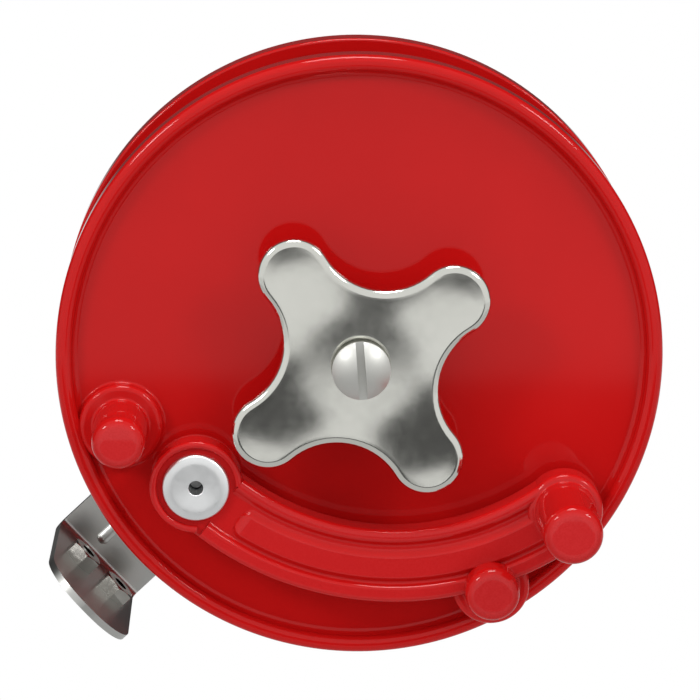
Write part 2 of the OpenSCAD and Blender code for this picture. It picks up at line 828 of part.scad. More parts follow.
module spindle_nut() {
    color(steel) plan() translate([0, 0, spindle_nut_top_h]) rotate([180, 0, 0])
        hex_nut(spindle_nut_af, spindle_nut_h, tail_d / 2 + run_clear);
}

module lock_washer() {
    slit_w = lock_washer_t * 0.6;
    color(steel) plan() difference() {
        ring(lock_washer_d / 2, tail_d / 2 + seat_clear, spindle_nut_top_h, leg_back_h);
        translate([0, -slit_w / 2, spindle_nut_top_h - 1])
            cube([lock_washer_d, slit_w, lock_washer_t + 2]);
    }
}

// Places children with x along the leg, y across it and z to the front
module on_leg() {
    plan() rotate([0, 0, leg_angle])
        children();
}

// Places children on the foot plate's inner face at both nuts, with z towards the axis
module at_nuts() {
    on_leg() for (side = [-1, 1])
        translate([foot_in, side * nut_spacing / 2, nut_h])
            rotate([0, -90, 0])
                children();
}

module leg_strip() {
    translate([0, 0, leg_back_h]) {
        cylinder(d = leg_w, h = sheet_t);
        translate([0, -leg_w / 2, 0])
            cube([bend_at, leg_w, sheet_t]);
    }
}

module leg_bend() {
    translate([bend_at, leg_w / 2, leg_h + bend_r])
        rotate([90, 0, 0])
            rotate([0, 0, -90])
                rotate_extrude(angle = 90)
                    translate([bend_r, 0])
                        square([sheet_t, leg_w]);
}

module foot_plate() {
    foot_base_h = leg_h + bend_r;
    straight_h = foot_tip_h - foot_end_r;
    translate([foot_in, -leg_w / 2, foot_base_h])
        cube([sheet_t, leg_w, straight_h - foot_base_h]);
    translate([foot_in, foot_end_r - leg_w / 2, straight_h - 1])
        cube([sheet_t, leg_w - 2 * foot_end_r, foot_end_r + 1]);
    for (side = [-1, 1])
        translate([foot_in, side * (leg_w / 2 - foot_end_r), straight_h])
            rotate([0, 90, 0])
                cylinder(r = foot_end_r, h = sheet_t);
}

// The bead's round back, as deep as the sheet allows
module bead(r, top_h) {
    length = bend_at - bead_end_inset - bead_start;
    translate([bead_start, -bead_offset, top_h - r])
        rotate([0, 90, 0])
            cylinder(r = r, h = length);
    for (end = [0, length])
        translate([bead_start + end, -bead_offset, top_h - r])
            sphere(r = r);
}

module foot_bracket() {
    bead_r = (pow(bead_w / 2, 2) + pow(bead_h, 2)) / (2 * bead_h);
    color(steel) difference() {
        on_leg() {
            difference() {
                union() {
                    leg_strip();
                    intersection() {
                        bead(bead_r, leg_h + bead_h);
                        translate([0, -leg_w / 2, leg_back_h])
                            cube([bend_at, leg_w, sheet_t + bead_h + 1]);
                    }
                }
                bead(bead_r - 0.2, leg_back_h + bead_h);
                translate([0, 0, leg_back_h - 1])
                    cylinder(r = tail_d / 2 + seat_clear, h = sheet_t + 2);
            }
            leg_bend();
            foot_plate();
        }
        at_nuts()
            translate([0, 0, -sheet_t - 1])
                cylinder(d = foot_hole_d, h = sheet_t + 2);
    }
}

module foot_nuts() {
    color(polished) at_nuts()
        hex_nut(foot_nut_af, foot_nut_h, foot_nut_bore_d / 2);
}

front_flange();
drum();
back_flange();
flange_screws();
front_bush();
rear_bush();
crank_rivet();
rivet_mandrel();
backup_washer();
pivot_washer();
crank_arm();
drag_star();
star_nut();
thrust_washer();
disc_spring();
pressure_washer();
front_drag_washer();
rear_drag_washer();
cap_screw();
spindle();
spindle_nut();
lock_washer();
foot_bracket();
foot_nuts();
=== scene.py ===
import math

import bmesh
import bpy
from mathutils import Matrix, Vector


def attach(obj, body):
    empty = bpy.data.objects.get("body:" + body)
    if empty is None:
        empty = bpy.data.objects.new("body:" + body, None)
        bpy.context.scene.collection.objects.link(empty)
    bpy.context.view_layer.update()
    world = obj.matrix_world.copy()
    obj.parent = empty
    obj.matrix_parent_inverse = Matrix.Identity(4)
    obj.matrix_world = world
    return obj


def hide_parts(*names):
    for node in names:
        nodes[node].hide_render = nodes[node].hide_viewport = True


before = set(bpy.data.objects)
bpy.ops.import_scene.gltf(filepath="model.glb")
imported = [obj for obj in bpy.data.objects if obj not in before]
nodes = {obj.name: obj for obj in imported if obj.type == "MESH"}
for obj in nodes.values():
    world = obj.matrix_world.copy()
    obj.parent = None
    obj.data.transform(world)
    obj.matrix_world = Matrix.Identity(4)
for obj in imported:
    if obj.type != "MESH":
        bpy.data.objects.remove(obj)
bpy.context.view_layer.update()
mm = 0.001
print("frame loaded:", len(nodes), "nodes")

# Sizes are in millimetres in the plan frame: x right, y up, h towards the front of the reel.
planTurn = Matrix.Rotation(math.radians(90), 4, "X")


def polar(r, degrees):
    a = math.radians(degrees)
    return (r * math.cos(a), r * math.sin(a))


def arc(x, y, r, start, end, steps=8):
    return [(x + r * math.cos(math.radians(a)), y + r * math.sin(math.radians(a)))
            for a in (start + (end - start) * i / steps for i in range(steps + 1))]


# Turns a closed profile of (radius, height) points about an upright axis at centre
def lathe(bm, profile, centre=(0, 0), steps=96):
    rings = []
    for r, h in profile:
        if r < 1e-6:
            rings.append([bm.verts.new((centre[0], centre[1], h))])
            continue
        rings.append([bm.verts.new((centre[0] + x, centre[1] + y, h))
                      for x, y in (polar(r, 360 * i / steps) for i in range(steps))])
    for k, ring in enumerate(rings):
        after = rings[(k + 1) % len(rings)]
        if len(ring) == 1 and len(after) == 1:
            continue
        for i in range(steps):
            j = (i + 1) % steps
            corners = [ring[i % len(ring)], ring[j % len(ring)],
                       after[j % len(after)], after[i % len(after)]]
            bm.faces.new(list(dict.fromkeys(corners)))    # a ring at the axis is one point


# The rounded, nearly flat end of a peg, from its side to its middle
def tipProfile(r, tip, tipRadius, dome=0.03, roundTo=82):
    side = arc(r - tipRadius, tip - dome - tipRadius, tipRadius, 0, roundTo, 12)
    span = side[-1][0]
    drop = tip - side[-1][1]
    return side + [(span * f, tip - drop * f * f) for f in (0.85, 0.7, 0.5, 0.3, 0.15, 0)]


# A round peg with a slight taper, a rounded tip and a fillet at its foot
def pegProfile(r, footHeight, tipHeight, tipRadius, fillet, taper=0.2, root=1.0):
    return ([(0, footHeight - root), (r + fillet, footHeight - root)]
            + arc(r + fillet, footHeight + fillet, fillet, 270, 180)
            + tipProfile(r - taper, tipHeight, tipRadius))


# Boss with a rounded upper edge and a small fillet where it meets the plate
def bossProfile(r, root, floor, top, edge, fillet):
    return ([(0, root), (r + fillet, root)]
            + arc(r + fillet, floor + fillet, fillet, 270, 180)
            + arc(r - edge, top - edge, edge, 0, 90)
            + [(0, top)])


def meshFrom(name, bm, turn=True):
    bmesh.ops.recalc_face_normals(bm, faces=bm.faces)
    if turn:
        bm.transform(planTurn @ Matrix.Scale(mm, 4))
    mesh = bpy.data.meshes.new(name)
    bm.to_mesh(mesh)
    bm.free()
    return mesh


def addObject(name, mesh):
    obj = bpy.data.objects.new(name, mesh)
    bpy.context.scene.collection.objects.link(obj)
    return obj


# The evaluated object as a plain mesh, with its modifiers gone
def flatten(obj):
    bpy.context.view_layer.update()
    seen = obj.evaluated_get(bpy.context.evaluated_depsgraph_get())
    mesh = bpy.data.meshes.new_from_object(seen)
    obj.modifiers.clear()
    obj.data = mesh
    return obj


def cutAway(obj, cutters):
    for cutter in cutters:
        cut = obj.modifiers.new("cut", "BOOLEAN")
        cut.operation = "DIFFERENCE"
        cut.solver = "EXACT"
        cut.object = cutter
    flatten(obj)
    for cutter in cutters:
        bpy.data.objects.remove(cutter)
    return obj


# Shading, finish and body of a piece that stands for a CAD node
def dress(obj, finish, body, node, sharp=35):
    obj.data.materials.clear()
    obj.data.materials.append(finish)
    obj.data.shade_smooth()
    obj.data.set_sharp_from_angle(angle=math.radians(sharp))
    weigh = obj.modifiers.new("evenNormals", "WEIGHTED_NORMAL")
    weigh.keep_sharp = True
    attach(obj, body)
    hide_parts(node)
    return obj


# Finishes

def newFinish(name):
    mat = bpy.data.materials.new(name)
    mat.use_nodes = True
    tree = mat.node_tree
    shader = next(n for n in tree.nodes if n.type == "BSDF_PRINCIPLED")
    coords = tree.nodes.new("ShaderNodeTexCoord")
    return mat, tree, shader, coords


def noise(tree, coords, scale, detail=3.0, stretch=(1, 1, 1)):
    mapping = tree.nodes.new("ShaderNodeMapping")
    mapping.inputs["Scale"].default_value = stretch
    tree.links.new(coords.outputs["Object"], mapping.inputs["Vector"])
    tex = tree.nodes.new("ShaderNodeTexNoise")
    tex.inputs["Scale"].default_value = scale
    tex.inputs["Detail"].default_value = detail
    tree.links.new(mapping.outputs["Vector"], tex.inputs["Vector"])
    return tex.outputs["Fac"]


def ramp(tree, value, lowColour, highColour, low=0.35, high=0.65):
    node = tree.nodes.new("ShaderNodeValToRGB")
    node.color_ramp.elements[0].position = low
    node.color_ramp.elements[1].position = high
    node.color_ramp.elements[0].color = (*lowColour, 1)
    node.color_ramp.elements[1].color = (*highColour, 1)
    tree.links.new(value, node.inputs["Fac"])
    return node.outputs["Color"]


def remap(tree, value, start, end, low=0.0, high=1.0):
    node = tree.nodes.new("ShaderNodeMapRange")
    node.inputs["From Min"].default_value = start
    node.inputs["From Max"].default_value = end
    node.inputs["To Min"].default_value = low
    node.inputs["To Max"].default_value = high
    tree.links.new(value, node.inputs["Value"])
    return node.outputs["Result"]


# A noise value spread over a span of roughness
def roughness(tree, value, span):
    return remap(tree, value, 0.3, 0.7, *span)


# Each height is a noise value and its depth in metres
def bump(tree, shader, heights):
    last = None
    for value, depth in heights:
        node = tree.nodes.new("ShaderNodeBump")
        node.inputs["Strength"].default_value = 1.0
        node.inputs["Distance"].default_value = depth
        tree.links.new(value, node.inputs["Height"])
        if last:
            tree.links.new(last, node.inputs["Normal"])
        last = node.outputs["Normal"]
    tree.links.new(last, shader.inputs["Normal"])


redGloss = {
    "deep": (0.445, 0.0046, 0.0045),
    "light": (0.475, 0.0055, 0.0054),
    "cloudScale": 28.0,      # slow change of tone through the moulding, per metre
    "rippleScale": 45.0,     # sink marks in the flat faces
    "grainScale": 2600.0,    # skin of the mould
    "roughness": (0.035, 0.06),
    "rippleDepth": 0.000006,
    "grainDepth": 0.00000024,
    "shine": 0.22,
    # painted sheen: paler, pinker tones painted on the arm's top and the ends of the pegs, standing in for
    # their reflection of the bright room
    "paintedSheen": ((0.46, 0.0155, 0.0165), (0.485, 0.0205, 0.022)),    # the arm's top and the ends of the pegs
    "paintedSheenAlong": (-0.025, -0.030),    # where the painted sheen starts and is full, along the axis
    "paintedSheenFacing": (-0.80, -0.98),     # and as the face turns to the front
}


# Painted sheen: how much a paler tone is painted on a point. It goes on faces turned to the front, the more
# so the further they stand out, as a painted reflection of the bright room in front
def paintedSheenMask(tree, coords):
    both = tree.nodes.new("ShaderNodeMath")
    both.operation = "MULTIPLY"
    for i, (output, span) in enumerate((("Object", "paintedSheenAlong"), ("Normal", "paintedSheenFacing"))):
        parts = tree.nodes.new("ShaderNodeSeparateXYZ")
        tree.links.new(coords.outputs[output], parts.inputs["Vector"])
        tree.links.new(remap(tree, parts.outputs["Y"], *redGloss[span]), both.inputs[i])
    return both.outputs["Value"]


def redPlastic(name, deeper=1.0):
    mat, tree, shader, coords = newFinish(name)
    cloud = noise(tree, coords, redGloss["cloudScale"])
    grain = noise(tree, coords, redGloss["grainScale"], 1.0)
    ripple = noise(tree, coords, redGloss["rippleScale"], 1.0)
    deep = [c * deeper for c in redGloss["deep"]]
    light = [c * deeper for c in redGloss["light"]]
    mix = tree.nodes.new("ShaderNodeMix")
    mix.data_type = "RGBA"
    factor, plain, paintedSheen = mix.inputs[0], mix.inputs[6], mix.inputs[7]    # sockets of the colour mix
    # painted sheen: the paler tone is mixed in on forward faces that turn to the front, as painted
    # reflected light
    tree.links.new(paintedSheenMask(tree, coords), factor)
    tree.links.new(ramp(tree, cloud, deep, light), plain)
    tree.links.new(ramp(tree, grain, *redGloss["paintedSheen"]), paintedSheen)
    tree.links.new(mix.outputs[2], shader.inputs["Base Color"])
    tree.links.new(roughness(tree, cloud, redGloss["roughness"]), shader.inputs["Roughness"])
    shader.inputs["Specular IOR Level"].default_value = redGloss["shine"]
    bump(tree, shader, [(ripple, redGloss["rippleDepth"]), (grain, redGloss["grainDepth"])])
    return mat


# Metals differ in tone, polish and grain; bright steel has a finer grain along the axis, as if turned
metals = {
    "polishedStar": {"dark": (0.66, 0.66, 0.61), "light": (0.71, 0.71, 0.66), "polish": (0.10, 0.13),
                     "grain": 420.0, "depth": 0.000002},
    "satinStainless": {"dark": (0.46, 0.46, 0.44), "light": (0.54, 0.54, 0.52), "polish": (0.27, 0.31),
                       "grain": 60.0, "depth": 0.00005},
    "platedNut": {"dark": (0.62, 0.62, 0.57), "light": (0.68, 0.68, 0.62), "polish": (0.12, 0.18),
                  "grain": 600.0, "depth": 0.000002},
    "darkZinc": {"dark": (0.26, 0.25, 0.23), "light": (0.40, 0.39, 0.36), "polish": (0.08, 0.14),
                 "grain": 900.0, "depth": 0.0000005},
    "satinSteel": {"dark": (0.54, 0.54, 0.51), "light": (0.60, 0.60, 0.57), "polish": (0.42, 0.50),
                   "grain": 700.0, "depth": 0.000003},
    "brightSteel": {"dark": (0.56, 0.55, 0.53), "light": (0.66, 0.65, 0.63), "polish": (0.16, 0.24),
                    "grain": 700.0, "stretch": (1, 4, 1), "depth": 0.000004},
    "drawnAluminium": {"dark": (0.80, 0.81, 0.81), "light": (0.88, 0.89, 0.89), "polish": (0.32, 0.40),
                       "grain": 900.0, "depth": 0.000003},
    "plainSteel": {"dark": (0.16, 0.16, 0.16), "light": (0.28, 0.28, 0.27), "polish": (0.35, 0.5),
                   "grain": 900.0, "depth": 0.00001},
}


def metal(name, cloudShare=0.2):
    look = metals[name]
    mat, tree, shader, coords = newFinish(name)
    cloud = noise(tree, coords, look["grain"] * cloudShare)
    grain = noise(tree, coords, look["grain"], 2.0, look.get("stretch", (1, 1, 1)))
    tree.links.new(ramp(tree, cloud, look["dark"], look["light"], 0.3, 0.7), shader.inputs["Base Color"])
    tree.links.new(roughness(tree, grain, look["polish"]), shader.inputs["Roughness"])
    shader.inputs["Metallic"].default_value = 1.0
    bump(tree, shader, [(grain, look["depth"])])
    return mat


# Dull pieces of the drag: nylon bushes and pressed fibre washers
dulls = {
    "naturalNylon": {"dark": (0.62, 0.59, 0.50), "light": (0.76, 0.73, 0.64),
                     "rough": (0.42, 0.55), "grain": 600.0, "depth": 0.00003},
    "pressedFibre": {"dark": (0.06, 0.03, 0.02), "light": (0.16, 0.09, 0.05),
                     "rough": (0.65, 0.85), "grain": 1500.0, "depth": 0.00003},
}


def dull(name):
    look = dulls[name]
    mat, tree, shader, coords = newFinish(name)
    grain = noise(tree, coords, look["grain"])
    tree.links.new(ramp(tree, grain, look["dark"], look["light"]), shader.inputs["Base Color"])
    tree.links.new(roughness(tree, grain, look["rough"]), shader.inputs["Roughness"])
    bump(tree, shader, [(grain, look["depth"])])
    return mat


mouldedRed = redPlastic("mouldedRed")
drumRed = redPlastic("drumRed", 0.8)
finishes = {name: metal(name) for name in metals}
finishes.update({name: dull(name) for name in dulls})
print("finishes made:", len(finishes) + 2)    # the two reds are not in the list

# Flanges, each turned from one profile

spool = {
    "radius": 63.5,
    "rimHeight": 20.5,      # front of the lip, and as far back on the other side
    "lipRise": 2.8,
    "lipWidth": 3.4,
    "rimRound": 1.6,
    "lipRound": 1.4,
    "lipFillet": 1.3,
    "plateThickness": 3.0,
    "skirtWall": 3.2,
    "skirtEdge": 0.6,
    "skirtFillet": 1.0,
    "hubRadius": 11.0,
    "hubDepth": 5.0,
    "hubEdge": 0.8,
    "hubFillet": 0.8,
    "boreRadius": 7.05,
    "faceRings": (48, 36, 24),    # radii where the face gets a ring of points
    "turnSteps": 240,
}
spool["faceHeight"] = spool["rimHeight"] - spool["lipRise"]
spool["plateBack"] = spool["faceHeight"] - spool["plateThickness"]
frontFlange = {"rimDepth": 8.0, "hubTop": 23.9}
backFlange = {"rimDepth": 9.0, "hubTop": 18.5}
fingerPeg = {"place": polar(spool["radius"] - 11.5, 196), "radius": 5.7, "tip": 38.5, "tipRadius": 2.2,
             "bossRadius": 8.8, "bossEdge": 1.2, "bossRoot": 0.5, "fillet": 0.6}
crankPivot = {"place": polar(spool["radius"] - 20.6, 217), "seatRadius": 8.5, "seatTop": 20.5,
              "seatEdge": 0.3, "seatFillet": 0.8, "boreRadius": 2.45, "boreCut": (0, 40),
              "recessRadius": 6.0, "recessTop": 17.4}


def flangeProfile(rimDepth, hubTop):
    s = spool
    back = s["rimHeight"] - rimDepth
    lipIn = s["radius"] - s["lipWidth"]
    skirt = s["radius"] - s["skirtWall"]
    skirtEdge, skirtFillet = s["skirtEdge"], s["skirtFillet"]
    rise = hubTop - s["faceHeight"]
    hubFillet, hubEdge = min(s["hubFillet"], rise / 2), min(s["hubEdge"], rise / 3)
    hubEnd = s["plateBack"] - s["hubDepth"]
    return ([(s["boreRadius"], hubEnd), (s["hubRadius"], hubEnd), (s["hubRadius"], s["plateBack"])]
            + arc(skirt - skirtFillet, s["plateBack"] - skirtFillet, skirtFillet, 90, 0)
            + arc(skirt + skirtEdge, back + skirtEdge, skirtEdge, 180, 270)
            + arc(s["radius"] - skirtEdge, back + skirtEdge, skirtEdge, 270, 360)
            + arc(s["radius"] - s["rimRound"], s["rimHeight"] - s["rimRound"], s["rimRound"], 0, 90, 14)
            + arc(lipIn + s["lipRound"], s["rimHeight"] - s["lipRound"], s["lipRound"], 90, 180, 12)
            + arc(lipIn - s["lipFillet"], s["faceHeight"] + s["lipFillet"], s["lipFillet"], 0, -90, 10)
            + [(r, s["faceHeight"]) for r in s["faceRings"]]
            + arc(s["hubRadius"] + hubFillet, s["faceHeight"] + hubFillet, hubFillet, 270, 180)
            + arc(s["hubRadius"] - hubEdge, hubTop - hubEdge, hubEdge, 0, 90)
            + [(s["boreRadius"], hubTop)])


def cylinderTool(name, r, low, high, centre):
    bm = bmesh.new()
    lathe(bm, [(0, low), (r, low), (r, high), (0, high)], centre, 64)
    return addObject(name, meshFrom(name, bm))


def makeFrontFlange():
    bm = bmesh.new()
    lathe(bm, flangeProfile(frontFlange["rimDepth"], frontFlange["hubTop"]), steps=spool["turnSteps"])
    plate = addObject("frontFlange", meshFrom("frontFlange", bm))
    p = crankPivot
    low = spool["plateBack"] - 2    # past the back of the plate
    cutAway(plate, [cylinderTool("recessTool", p["recessRadius"], low, p["recessTop"], p["place"]),
                    cylinderTool("boreTool", p["boreRadius"], *p["boreCut"], p["place"])])
    bm = bmesh.new()
    floor, top = spool["faceHeight"], spool["rimHeight"]
    edge, fillet = p["seatEdge"], p["seatFillet"]
    seat = (arc(p["seatRadius"] + fillet, floor + fillet, fillet, 270, 180)
            + arc(p["seatRadius"] - edge, p["seatTop"] - edge, edge, 0, 90))
    lathe(bm, [(p["boreRadius"], p["recessTop"]), (p["seatRadius"], p["recessTop"])] + seat
          + [(p["boreRadius"], p["seatTop"])], p["place"])
    f = fingerPeg
    root = spool["plateBack"] + f["bossRoot"]
    lathe(bm, bossProfile(f["bossRadius"], root, floor, top, f["bossEdge"], f["fillet"]), f["place"])
    lathe(bm, pegProfile(f["radius"], top, f["tip"], f["tipRadius"], f["fillet"]), f["place"])
    bosses = meshFrom("bosses", bm)
    bm = bmesh.new()
    bm.from_mesh(plate.data)
    bm.from_mesh(bosses)
    bm.to_mesh(plate.data)
    bm.free()
    return plate


dress(makeFrontFlange(), mouldedRed, "spool", "front_flange")


def makeBackFlange():
    bm = bmesh.new()
    lathe(bm, flangeProfile(backFlange["rimDepth"], backFlange["hubTop"]), steps=spool["turnSteps"])
    bm.transform(Matrix.Scale(-1, 4, (0, 0, 1)))
    return addObject("backFlange", meshFrom("backFlange", bm))


dress(makeBackFlange(), mouldedRed, "spool", "back_flange")
print("flanges made")

# Flange screws, set round the hub by a node tree

flangeScrew = {"count": 4, "circle": 23.0, "firstAngle": 45.0, "headRadius": 3.1, "headHeight": 2.2,
               "shankRadius": 1.5, "seat": -17.7, "shankEnd": 14.2, "slotWidth": 1.0, "slotDepth": 1.1,
               "headRound": 1.0, "seed": 7}    # the seed is for the way that the slots point


def screwTree():
    tree = bpy.data.node_groups.new("screwCircle", "GeometryNodeTree")
    face = tree.interface
    face.new_socket("Geometry", in_out="INPUT", socket_type="NodeSocketGeometry")
    sockets = {}
    for label, kind in (("Count", "NodeSocketInt"), ("Circle Radius", "NodeSocketFloat"),
                        ("First Angle", "NodeSocketFloat"), ("Finish", "NodeSocketMaterial")):
        sockets[label] = face.new_socket(label, in_out="INPUT", socket_type=kind).identifier
    face.new_socket("Geometry", in_out="OUTPUT", socket_type="NodeSocketGeometry")
    add, link = tree.nodes.new, tree.links.new
    given, result = add("NodeGroupInput"), add("NodeGroupOutput")
    circle, turn = add("GeometryNodeMeshCircle"), add("GeometryNodeTransform")
    spread, real = add("GeometryNodeInstanceOnPoints"), add("GeometryNodeRealizeInstances")
    paint = add("GeometryNodeSetMaterial")
    angle, slots = add("ShaderNodeCombineXYZ"), add("FunctionNodeRandomValue")
    slots.data_type = "FLOAT_VECTOR"
    slots.inputs["Min"].default_value = (0, 0, 0)
    slots.inputs["Max"].default_value = (0, 0, math.pi)
    slots.inputs["Seed"].default_value = flangeScrew["seed"]
    link(given.outputs["Count"], circle.inputs["Vertices"])
    link(given.outputs["Circle Radius"], circle.inputs["Radius"])
    link(given.outputs["First Angle"], angle.inputs["Z"])
    link(circle.outputs["Mesh"], turn.inputs["Geometry"])
    link(angle.outputs["Vector"], turn.inputs["Rotation"])
    link(turn.outputs["Geometry"], spread.inputs["Points"])
    link(given.outputs["Geometry"], spread.inputs["Instance"])
    link(slots.outputs["Value"], spread.inputs["Rotation"])
    link(spread.outputs["Instances"], real.inputs["Geometry"])
    link(real.outputs["Geometry"], paint.inputs["Geometry"])
    link(given.outputs["Finish"], paint.inputs["Material"])
    link(paint.outputs["Geometry"], result.inputs["Geometry"])
    return tree, sockets


def boxTool(name, low, high, turn=0.0):
    bm = bmesh.new()
    bmesh.ops.create_cube(bm, size=1)
    size = [b - a for a, b in zip(low, high)]
    middle = [(a + b) / 2 for a, b in zip(low, high)]
    about = Matrix.Rotation(math.radians(turn), 4, "Z")
    bm.transform(about @ Matrix.Translation(middle) @ Matrix.Diagonal((*size, 1)))
    return addObject(name, meshFrom(name, bm))


def makeFlangeScrews():
    s = flangeScrew
    top = s["seat"] - s["headHeight"]
    edge = s["headRound"]
    bm = bmesh.new()
    lathe(bm, [(0, top)] + arc(s["headRadius"] - edge, top + edge, edge, 270, 360)
          + [(s["headRadius"], s["seat"]), (s["shankRadius"], s["seat"]), (s["shankRadius"], s["shankEnd"]),
             (0, s["shankEnd"])], steps=40)
    screw = addObject("flangeScrews", meshFrom("flangeScrews", bm))
    wide = s["headRadius"] + 1
    half = s["slotWidth"] / 2
    cutAway(screw, [boxTool("slotTool", (-wide, -half, top - 1), (wide, half, top + s["slotDepth"]))])
    screw.data.transform(planTurn.inverted())
    tree, sockets = screwTree()
    ring = screw.modifiers.new("screwCircle", "NODES")
    ring.node_group = tree
    ring[sockets["Count"]] = s["count"]
    ring[sockets["Circle Radius"]] = s["circle"] * mm
    ring[sockets["First Angle"]] = math.radians(s["firstAngle"])
    ring[sockets["Finish"]] = finishes["brightSteel"]
    flatten(screw)
    screw.data.transform(planTurn)
    return screw


dress(makeFlangeScrews(), finishes["brightSteel"], "spool", "flange_screws")
print("flange screws set")

# Crank: the arm, its rails and its rib follow one curve, drawn by a node tree
crankArm = {
    "centre": (7.4529, 16.1887), "curve": 59.2, "start": 225.2, "sweep": 81.4, "half": 7.7,
    "low": 21.0, "floor": 27.0, "top": 28.0, "edge": 1.2, "lowEdge": 0.4,
    "wideSoft": 0.9, "thinSoft": 0.65,    # half widths of the soft walls between rails and rib
    "innerRail": (-7.7, -5.0), "rib": (-2.7, 2.8), "outerRail": (4.2, 7.7),
    "bodyStart": 2.9, "railStart": 6.4, "ribStart": 11.0,    # along the curve
    "ribRound": 2.2, "ribEnd": 5.2,
    "lobeRadius": 9.7, "lobeWall": 1.5, "lobeTop": 27.9, "lobeSoft": 0.45, "lobeGap": 44.0,
    "boreRadius": 2.5, "pockets": 4, "pocketWeb": 1.6, "pocketWall": 2.4, "pocketTop": 24.6,
    "lap": 0.03,                         # keeps faces of joined bodies out of one plane
    "ringLap": 0.02, "bandLap": 0.2,     # how far the ring and the bands reach into the arm
    "steps": 150,
}
crankKnob = {"radius": 6.35, "bossRadius": 7.9, "bossTop": 28.03, "tip": 50.5, "tipRadius": 2.2,
             "taper": 0.2, "fillet": 0.35, "coreRadius": 3.95, "coreTop": 47.1}
crankStub = {"offset": 7.8, "sweep": 62.1, "radius": 5.75, "bossRadius": 8.1, "bossTop": 26.3, "tip": 34.0,
             "tipRadius": 2.0, "taper": 0.1, "fillet": 0.5}


# A closed section swept along an arc; it can start with a round end
def sweepTree():
    tree = bpy.data.node_groups.new("armSweep", "GeometryNodeTree")
    face = tree.interface
    face.new_socket("Section", in_out="INPUT", socket_type="NodeSocketGeometry")
    sockets = {}
    for label, kind in (("Steps", "NodeSocketInt"), ("Radius", "NodeSocketFloat"),
                        ("Start", "NodeSocketFloat"), ("Sweep", "NodeSocketFloat"),
                        ("Round Start", "NodeSocketFloat"), ("Finish", "NodeSocketMaterial")):
        sockets[label] = face.new_socket(label, in_out="INPUT", socket_type=kind).identifier
    face.new_socket("Geometry", in_out="OUTPUT", socket_type="NodeSocketGeometry")
    add, link = tree.nodes.new, tree.links.new
    given, result = add("NodeGroupInput"), add("NodeGroupOutput")
    path, along = add("GeometryNodeCurveArc"), add("GeometryNodeSplineParameter")
    outline, tube = add("GeometryNodeMeshToCurve"), add("GeometryNodeCurveToMesh")
    real, paint = add("GeometryNodeRealizeInstances"), add("GeometryNodeSetMaterial")
    near, square = add("ShaderNodeMapRange"), add("ShaderNodeMath")
    rest, swell = add("ShaderNodeMath"), add("ShaderNodeMath")
    square.operation, rest.operation, swell.operation = "MULTIPLY", "SUBTRACT", "SQRT"
    for label, place in (("Radius", "Radius"), ("Start", "Start Angle"), ("Sweep", "Sweep Angle"),
                         ("Steps", "Resolution")):
        link(given.outputs[label], next(s for s in path.inputs if s.name == place and s.enabled))
    near.inputs["To Min"].default_value = 1.0
    near.inputs["To Max"].default_value = 0.0
    link(along.outputs["Length"], near.inputs["Value"])
    link(given.outputs["Round Start"], near.inputs["From Max"])
    link(near.outputs["Result"], square.inputs[0])
    link(near.outputs["Result"], square.inputs[1])
    rest.inputs[0].default_value = 1.0
    link(square.outputs["Value"], rest.inputs[1])
    link(rest.outputs["Value"], swell.inputs[0])
    link(given.outputs["Section"], outline.inputs["Mesh"])
    link(path.outputs["Curve"], tube.inputs["Curve"])
    link(outline.outputs["Curve"], tube.inputs["Profile Curve"])
    link(swell.outputs["Value"], tube.inputs["Scale"])
    tube.inputs["Fill Caps"].default_value = True
    link(tube.outputs["Mesh"], real.inputs["Geometry"])
    link(real.outputs["Geometry"], paint.inputs["Geometry"])
    link(given.outputs["Finish"], paint.inputs["Material"])
    link(paint.outputs["Geometry"], result.inputs["Geometry"])
    return tree, sockets


armTree, armSockets = sweepTree()


# The section holds (offset, height) points; the curve runs at the given offset and height
def swept(name, section, centre, radius, start, end, middle=0.0, level=24.0, roundStart=0.0):
    mesh = bpy.data.meshes.new(name)
    count = len(section)
    mesh.from_pydata([((s - middle) * mm, (level - h) * mm, 0) for s, h in section],
                     [(i, (i + 1) % count) for i in range(count)], [])
    obj = addObject(name, mesh)
    sweep = obj.modifiers.new("armSweep", "NODES")
    sweep.node_group = armTree
    sweep[armSockets["Steps"]] = crankArm["steps"]
    sweep[armSockets["Radius"]] = (radius + middle) * mm
    sweep[armSockets["Start"]] = math.radians(start)
    sweep[armSockets["Sweep"]] = math.radians(end - start)
    sweep[armSockets["Round Start"]] = max(roundStart, 1e-4) * mm
    sweep[armSockets["Finish"]] = mouldedRed
    flatten(obj)
    bm = bmesh.new()
    bm.from_mesh(obj.data)
    bmesh.ops.remove_doubles(bm, verts=bm.verts, dist=1e-7)
    bm.transform(Matrix.Translation((centre[0] * mm, centre[1] * mm, level * mm)))
    bm.transform(Matrix.Scale(1 / mm, 4))
    obj.data = meshFrom(name, bm)
    return obj


# A raised band between two offsets; each side is a round outer edge or a soft wall down to the floor
def bandSection(low, high, leftSoft, rightSoft, root):
    c = crankArm
    top, floor, edge = c["top"], c["floor"], c["edge"]
    rise = top - floor
    shares = [i / 8 for i in range(9)]
    wall = [(f, f * f * (3 - 2 * f)) for f in shares]
    if leftSoft:
        left = [(low - leftSoft + 2 * leftSoft * f, floor + rise * g) for f, g in wall]
    else:
        left = arc(low + edge, top - edge, edge, 180, 90, 8)
    if rightSoft:
        right = [(high + rightSoft - 2 * rightSoft * f, floor + rise * g) for f, g in reversed(wall)]
    else:
        right = arc(high - edge, top - edge, edge, 90, 0, 8)
    return [(left[0][0], root)] + left + right + [(right[-1][0], root)]


